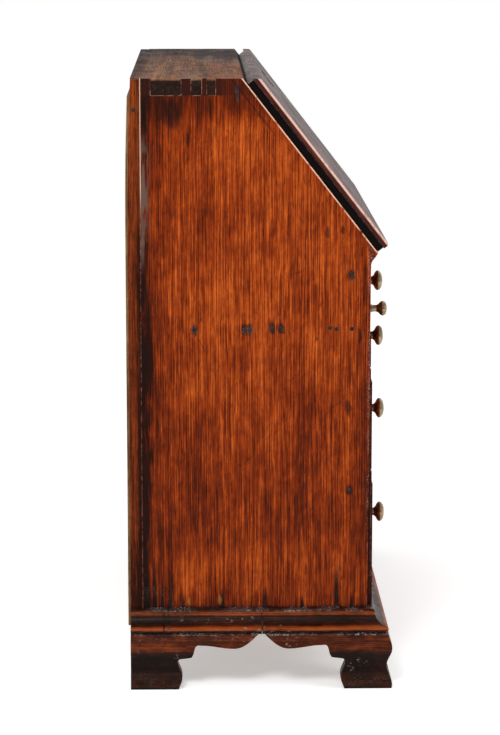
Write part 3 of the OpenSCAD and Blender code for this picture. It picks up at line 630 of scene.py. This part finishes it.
MATERIALS = {
    "side": oak("oak_side", OAK_WARM, ALONG_Z, 1, tone_marks=side_tone, colour_marks=side_colour),
    "strip": oak("oak_strip", OAK_RED, ALONG_Z, 2, tone_marks=strip_tone),
    "top": oak("oak_top", OAK_DUSTY, ALONG_X, 3, gloss=0.62, fine=1.1, coarse=0.7,
               tone_marks=top_tone, colour_marks=top_colour),
    "fall": oak("oak_fall", OAK_LID, ALONG_X, 4, gloss=0.4, shine=0.1, colour_marks=lid_colour),
    "cleat": oak("oak_cleat", OAK_LID, ALONG_Y, 5, turn=-SLOPE, gloss=0.4, shine=0.08,
                 colour_marks=lid_colour),
    "rail": oak("oak_front", OAK_WARM, ALONG_X, 6, colour_marks=end_grain_and_shade),
    "loper": oak("oak_loper", OAK_WARM, ALONG_Y, 7),
    "mould_front": moulded("oak_mould_front", ALONG_X, 8),
    "mould_side": moulded("oak_mould_side", ALONG_Y, 9),
    "foot": oak("oak_foot", OAK_DARK, ALONG_Y, 13, gloss=0.36, shine=0.08, fine=0.6, coarse=0.25,
                tone_marks=FOOT_LIGHT_AND_SHADE, colour_marks=scuffs),
    "gallery": oak("oak_gallery", OAK_WARM, ALONG_X, 10),
    "gallery_front": oak("oak_gallery_front", OAK_HONEY, ALONG_X, 40, wear=0.9, dirt_and_shade=0.9),
    "inside": oak("oak_inside", OAK_WARM, ALONG_X, 14, gloss=0.5),
    "deal": oak("deal", DEAL, ALONG_Y, 11, gloss=0.7),
    "deal_back": oak("deal_back", DEAL, ALONG_Z, 12, gloss=0.7),
    "brass": metal("brass", *BRASS, 0.14, 0.3),
    "brass_flat": metal("brass_flat", *BRASS, 0.2, 0.38, reach=2 * MM),
    "iron": metal("iron", *IRON, 0.5, 0.75),
}

# every long drawer is cut from another board
for number in range(1, 5):
    MATERIALS["drawer_%d_front" % number] = oak(
        "oak_drawer_%d" % number, OAK_WARM, ALONG_X, 20 + 3 * number, patchy=0.45 + 0.1 * number,
        wear=0.7, dirt_and_shade=0.85, colour_marks=keyhole("drawer_%d_front" % number))


NODE_FINISHES = {"fall_panel": "fall", "fall_cleat_left": "cleat", "fall_cleat_right": "cleat",
                 "side_left": "side", "side_right": "side", "back_strip_left": "strip",
                 "back_strip_right": "strip", "base_moulding_front": "mould_front",
                 "writing_board": "inside", "backboards": "deal_back"}
SLOT_FINISHES = {"oak_top": "top", "deal": "deal", "iron": "iron"}


def finish_of(node):
    """The name in MATERIALS for one CAD node, from its own name and its slot."""
    if node in MATERIALS:
        return node
    if node in NODE_FINISHES:
        return NODE_FINISHES[node]
    slot = SLOT_OF[node]
    if slot == "oak_dark":
        return "foot" if node.startswith("foot") else "mould_side"
    if slot == "oak_gallery":
        return "gallery_front" if node.startswith(("small_drawer", "prospect_door")) else "gallery"
    if slot == "oak_case":
        return "loper" if "loper" in node else "rail"
    if slot == "brass":
        return "brass_flat" if "hinge" in node or "lock" in node else "brass"
    return SLOT_FINISHES[slot]


def rounding_of(node):
    """Radius and segments of a node's rounded edges."""
    if SLOT_OF[node] in ("brass", "iron"):
        return 0.25 * MM, 2
    if node == "top_board":
        return 4 * MM, 3
    return (2.2 if node.startswith("foot_") else 1.2) * MM, 3


def soften(obj, width, segments):
    """Rounds a CAD node's sharp edges with modifiers."""
    bevel = obj.modifiers.new("edges", "BEVEL")
    bevel.width = width
    bevel.segments = segments
    bevel.limit_method = "ANGLE"
    bevel.angle_limit = math.radians(35)
    bevel.use_clamp_overlap = True
    for polygon in obj.data.polygons:
        polygon.use_smooth = True
    obj.modifiers.new("normals", "WEIGHTED_NORMAL").keep_sharp = True


for node, obj in NODES.items():
    obj.data.materials.clear()
    obj.data.materials.append(MATERIALS[finish_of(node)])
    soften(obj, *rounding_of(node))


# ---------------------------------------------------------------- screws of the fall's hinges and lock

SCREW_RADIUS = 3.1 * MM
SCREW_HEIGHT = 0.45 * MM
GROOVE_HALF = 0.45 * MM
GROOVE_LEVEL = 0.2              # of the head's height
RINGS, SPOKES = 9, 28

# the middle and the far end of a hinge leaf, its three screws, and the lock's middle up the slope
LEAF_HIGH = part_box("fall_hinge_posts")[1]
LEAF_END = LEAF_HIGH.y - FOLD.y
LEAF_MIDDLE = LEAF_HIGH.x - 32 * MM
LEAF_ROW = [(-24 * MM, LEAF_END - 8 * MM), (0, LEAF_END - 15 * MM), (24 * MM, LEAF_END - 8 * MM)]
LEAF_FACE = -0.65 * MM          # of the fall's leaves, from the slope through the hinge line
LOCK_LOW, LOCK_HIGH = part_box("fall_lock")
LOCK_MIDDLE = ((LOCK_LOW + LOCK_HIGH) / 2 - FOLD).dot(UP_SLOPE)

# screws as (x, distance from the hinge line)
HINGE_SCREWS = [(side * LEAF_MIDDLE + x, along) for side in (-1, 1) for x, along in LEAF_ROW]
LOCK_SCREWS = [(side * 26 * MM, LOCK_MIDDLE + step * 14 * MM) for side in (-1, 1) for step in (-1, 1)]


def add_screw(mesh, place, up, across):
    """One slotted head: a low dome with a groove across it, closed underneath."""
    other = up.cross(across)
    rows = [[mesh.verts.new(place + up * SCREW_HEIGHT * GROOVE_LEVEL)]]
    for ring in range(1, RINGS + 1):
        radius = SCREW_RADIUS * ring / RINGS
        dome = 1 - (ring / RINGS) ** 5
        row = []
        for spoke in range(SPOKES):
            angle = 2 * math.pi * spoke / SPOKES
            along = radius * math.cos(angle)
            aside = radius * math.sin(angle)
            level = SCREW_HEIGHT * (GROOVE_LEVEL if abs(aside) < GROOVE_HALF else dome)
            row.append(mesh.verts.new(place + across * along + other * aside + up * level))
        rows.append(row)
    sunk = [vertex.co - up * (SCREW_HEIGHT + (vertex.co - place).dot(up)) for vertex in rows[-1]]
    rows.append([mesh.verts.new(corner) for corner in sunk])
    rows.append([mesh.verts.new(place - up * SCREW_HEIGHT)])
    for inner, outer in zip(rows, rows[1:]):
        for spoke in range(SPOKES):
            after = spoke + 1
            corners = [inner[spoke % len(inner)], outer[spoke % len(outer)],
                       outer[after % len(outer)], inner[after % len(inner)]]
            mesh.faces.new(list(dict.fromkeys(corners)))


def screw_set(name, body, places, up):
    """A piece made of equal screws, each turned its own way."""
    draw = random.Random(name)
    mesh = bmesh.new()
    for place in places:
        across = Matrix.Rotation(draw.uniform(0, math.pi), 3, up) @ Vector((1, 0, 0))
        add_screw(mesh, place, up, across)
    bmesh.ops.recalc_face_normals(mesh, faces=mesh.faces)
    data = bpy.data.meshes.new(name)
    mesh.to_mesh(data)
    mesh.free()
    data.materials.append(MATERIALS["iron"])
    piece = bpy.data.objects.new(name, data)
    bpy.context.scene.collection.objects.link(piece)
    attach(piece, body)


screw_set("hinge_screws_case", "case",
          [Vector((x, FOLD.y + along, FOLD.z)) for x, along in HINGE_SCREWS], Vector((0, 0, 1)))
screw_set("hinge_screws_fall", "fall",
          [FOLD + Vector((x, 0, 0)) + UP_SLOPE * along + INWARD * LEAF_FACE
           for x, along in HINGE_SCREWS + LOCK_SCREWS], INWARD)


# ---------------------------------------------------------------- camera, floor and light

CAMERA_PLACE = (-4.736, 0.105, 1.307)
CAMERA_YAW = math.radians(-1.182)
CAMERA_PITCH = math.radians(10.059)
CAMERA_LENS = 127.08
FLOOR_HALF = 14


def aim_camera():
    """Looks along +X at the side, turned by the yaw and tilted down by the pitch."""
    data = bpy.data.cameras.new("camera")
    data.lens = CAMERA_LENS
    data.clip_end = 50
    camera = bpy.data.objects.new("camera", data)
    bpy.context.scene.collection.objects.link(camera)
    level = math.cos(CAMERA_PITCH)
    ahead = Vector((level * math.cos(CAMERA_YAW), level * math.sin(CAMERA_YAW), -math.sin(CAMERA_PITCH)))
    camera.location = CAMERA_PLACE
    camera.rotation_euler = ahead.to_track_quat("-Z", "Y").to_euler()
    bpy.context.scene.camera = camera


def lay_floor():
    """A pale floor that glows a little, so that it stays near white under soft light."""
    corners = [(x * FLOOR_HALF, y * FLOOR_HALF, 0) for x, y in ((-1, -1), (1, -1), (1, 1), (-1, 1))]
    mesh = bpy.data.meshes.new("floor")
    mesh.from_pydata(corners, [], [(0, 1, 2, 3)])
    floor = bpy.data.objects.new("floor", mesh)
    bpy.context.scene.collection.objects.link(floor)
    paint = Paint("floor")
    paint.bsdf.inputs["Base Color"].default_value = (0.86, 0.86, 0.86, 1)
    paint.bsdf.inputs["Emission Color"].default_value = (1, 1, 1, 1)
    paint.bsdf.inputs["Emission Strength"].default_value = 0.4
    paint.bsdf.inputs["Roughness"].default_value = 0.9
    paint.bsdf.inputs["Specular IOR Level"].default_value = 0.0
    mesh.materials.append(paint.material)


def add_light(name, place, target, size, power):
    """A soft round lamp that faces a target."""
    data = bpy.data.lights.new(name, "AREA")
    data.shape = "DISK"
    data.size = size
    data.energy = power
    light = bpy.data.objects.new(name, data)
    light.location = place
    light.rotation_euler = (Vector(target) - Vector(place)).to_track_quat("-Z", "Y").to_euler()
    bpy.context.scene.collection.objects.link(light)


def set_world():
    """White beyond the desk, and a dimmer room on the near side that the two lamps model against."""
    world = bpy.data.worlds.new("studio")
    world.use_nodes = True
    tree = world.node_tree
    direction = tree.nodes.new("ShaderNodeTexCoord").outputs["Generated"]
    split = tree.nodes.new("ShaderNodeSeparateXYZ")
    tree.links.new(split.inputs[0], direction)
    level = tree.nodes.new("ShaderNodeMapRange")
    tree.links.new(level.inputs["Value"], split.outputs["X"])
    for name, number in (("From Min", -0.2), ("From Max", 0.6), ("To Min", 0.5), ("To Max", 1.0)):
        level.inputs[name].default_value = number
    background = tree.nodes["Background"]
    background.inputs["Color"].default_value = (1, 1, 1, 1)
    tree.links.new(background.inputs["Strength"], level.outputs["Result"])
    bpy.context.scene.world = world


bpy.context.scene.view_settings.view_transform = "Standard"
aim_camera()
lay_floor()
set_world()
add_light("key", (-3.2, 1.0, 3.2), (-0.4, 0, 0.6), 1.4, 90)
add_light("fill", (-1.6, -3.4, 1.8), (0, 0, 0.6), 1.2, 45)
